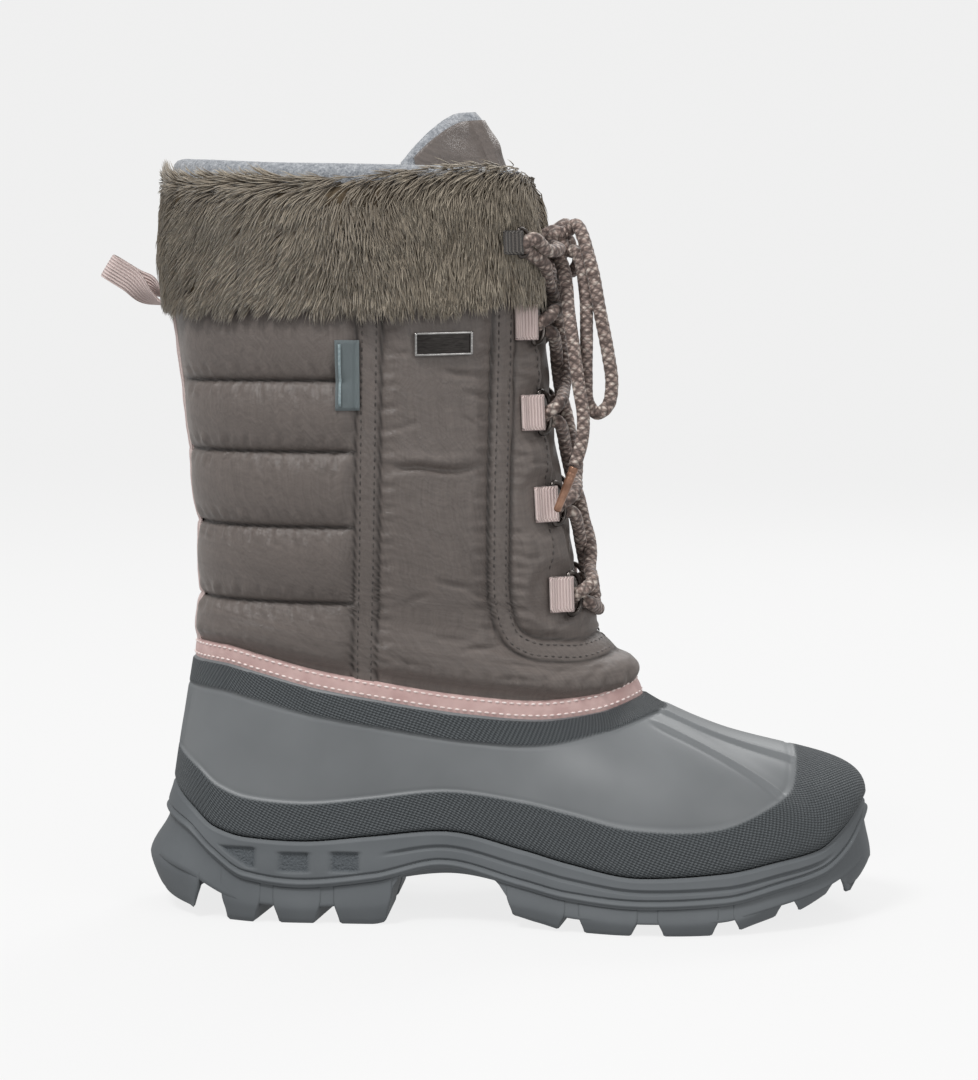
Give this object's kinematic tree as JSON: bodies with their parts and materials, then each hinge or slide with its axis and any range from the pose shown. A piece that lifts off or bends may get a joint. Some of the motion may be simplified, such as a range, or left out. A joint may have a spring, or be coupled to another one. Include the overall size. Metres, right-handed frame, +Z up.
{
  "type": "snow boot",
  "caption": "Right winter boot with a moulded rubber foot on a lugged sole, a quilted nylon leg, a fake-fur cuff, a padded tongue, ring lacing with a tied bow and a heel pull loop.",
  "frame": {"origin": "on the floor, in the middle of the boot's length and width, cord pieces left out", "axes": "+X to the toe, +Y to the inner side of the foot, +Z up"},
  "size_m": [0.3101, 0.1294, 0.318],
  "materials": {
    "rubber": "satin moulded grey rubber",
    "sole_rubber": "matt moulded grey rubber",
    "nylon": "padded taupe nylon with a soft sheen",
    "fur": "deep taupe-brown fake fur",
    "fleece": "heather grey fleece",
    "pink_tape": "pale pink ribbed tape",
    "dark_tape": "dark ribbed webbing",
    "gunmetal": "gunmetal plated wire",
    "lace": "round braid in taupe, pink and cream",
    "lace_tip": "coppery brown tip"
  },
  "bodies": {
    "root": {"outsole": "sole_rubber", "rubber_foot": "rubber", "insole": "fleece", "shaft": "nylon", "fur_cuff": "fur", "tongue": "nylon", "pull_loop": "pink_tape", "ring_tab_outer_1": "pink_tape", "ring_outer_1": "gunmetal", "ring_tab_outer_2": "pink_tape", "ring_outer_2": "gunmetal", "ring_tab_outer_3": "pink_tape", "ring_outer_3": "gunmetal", "ring_tab_outer_4": "pink_tape", "ring_outer_4": "gunmetal", "keeper_tab_outer": "dark_tape", "keeper_ring_outer": "gunmetal", "ring_tab_inner_1": "pink_tape", "ring_inner_1": "gunmetal", "ring_tab_inner_2": "pink_tape", "ring_inner_2": "gunmetal", "ring_tab_inner_3": "pink_tape", "ring_inner_3": "gunmetal", "ring_tab_inner_4": "pink_tape", "ring_inner_4": "gunmetal", "keeper_tab_inner": "dark_tape", "keeper_ring_inner": "gunmetal", "lace_bar": "lace", "lace_crossing_1": "lace", "lace_crossing_2": "lace", "lace_crossing_3": "lace", "lace_crossing_4": "lace", "lace_knot": "lace", "lace_loop_outer": "lace", "lace_end_outer": "lace", "lace_tip_outer": "lace_tip", "lace_loop_inner": "lace", "lace_end_inner": "lace", "lace_tip_inner": "lace_tip"}
  },
  "joints": []
}
